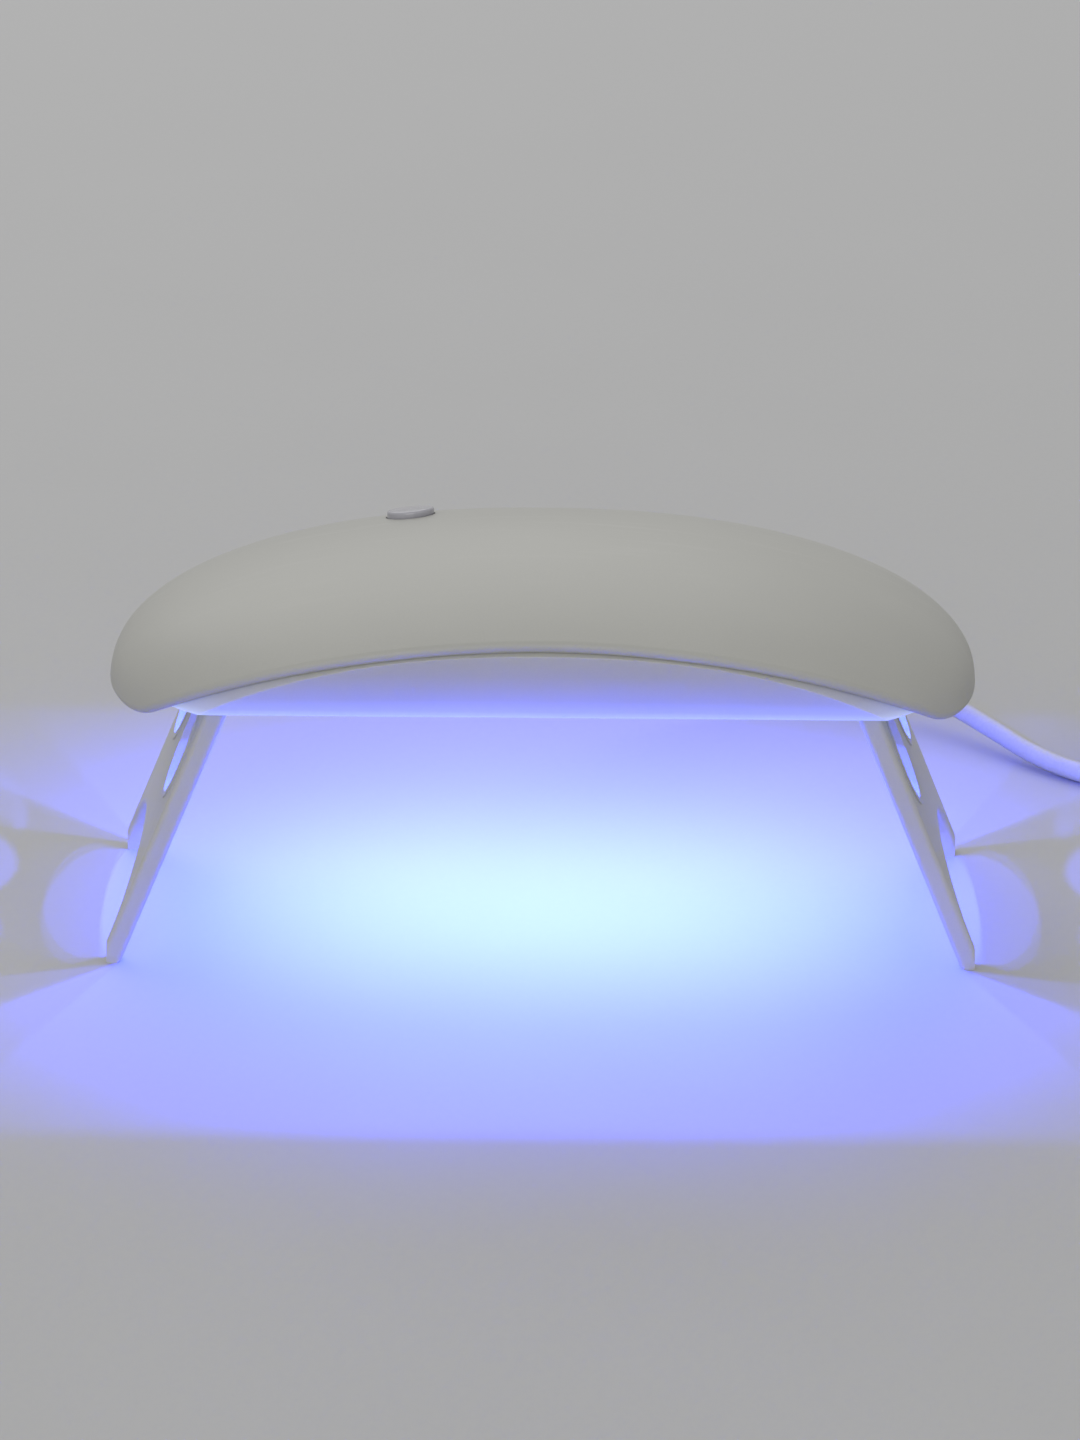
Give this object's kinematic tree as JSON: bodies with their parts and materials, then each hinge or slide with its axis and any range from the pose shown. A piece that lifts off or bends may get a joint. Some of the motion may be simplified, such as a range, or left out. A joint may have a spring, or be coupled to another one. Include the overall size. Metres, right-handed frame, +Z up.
{
  "type": "uv led nail lamp",
  "caption": "Folding mini nail lamp: oval moulded cover over a tray with ultraviolet emitters, two fold-out legs, a timer button and a supply lead.",
  "frame": {"origin": "on the surface the feet stand on, under the middle of the lamp", "axes": "+X along the lamp towards its right end, +Y towards the back, where the lead leaves, +Z up"},
  "size_m": [0.2221, 0.1452, 0.0627],
  "materials": {
    "shell_white": "satin white ABS",
    "steel_pin": "ground steel",
    "chrome_pan": "vacuum-chromed plastic",
    "board_white": "white solder mask",
    "board_green": "green solder mask",
    "black_plastic": "moulded black",
    "brass_spacer": "turned",
    "steel_screw": "zinc plated",
    "lamp_clear": "clear epoxy",
    "button_clear": "milky translucent",
    "lens_clear": "clear silicone dome",
    "steel_shell": "nickel plated",
    "lead_white": "soft white PVC",
    "wire_red": "PVC insulation",
    "contact_black": "moulded black"
  },
  "bodies": {
    "lamp": {"board_link": "black_plastic", "board_screws": "steel_screw", "board_spacers": "brass_spacer", "cable": "lead_white", "cable_coil": "lead_white", "cable_tail": "lead_white", "choke": "black_plastic", "control_board": "board_green", "cover_screws": "steel_screw", "driver_chip": "black_plastic", "hinge_pin_left": "steel_pin", "hinge_pin_right": "steel_pin", "indicator_lamp": "lamp_clear", "light_board": "board_white", "lower_housing": "shell_white", "plug_grip": "lead_white", "plug_shell": "steel_shell", "reflector_pan": "chrome_pan", "strain_relief": "lead_white", "supply_wires": "wire_red", "tact_switch": "black_plastic", "timer_chip": "black_plastic", "top_cover": "shell_white", "usb_grip": "lead_white", "usb_relief": "lead_white", "usb_shell": "steel_shell", "usb_socket": "steel_shell", "usb_tongue": "contact_black", "uv_led_1": "lens_clear", "uv_led_2": "lens_clear", "uv_led_3": "lens_clear", "uv_led_4": "lens_clear", "uv_led_5": "lens_clear", "uv_led_6": "lens_clear"},
    "leg_left": {"leg_left": "shell_white"},
    "leg_right": {"leg_right": "shell_white"},
    "button": {"timer_button": "button_clear", "switch_plunger": "black_plastic"}
  },
  "joints": [
    {"name": "leg_left_fold", "type": "hinge", "parent": "lamp", "child": "leg_left", "pos_m": [-0.0484, 0, 0.0441], "axis": [0, -1, 0], "range_deg": [0, 112.4]},
    {"name": "leg_right_fold", "type": "hinge", "parent": "lamp", "child": "leg_right", "pos_m": [0.0484, 0, 0.0441], "axis": [0, 1, 0], "range_deg": [0, 112.4]},
    {"name": "button_press", "type": "slide", "parent": "lamp", "child": "button", "axis": [0, 0, -1], "range_m": [0, 0.0006], "stiffness_N_per_m": 1200, "springref_m": -0.0003}
  ]
}
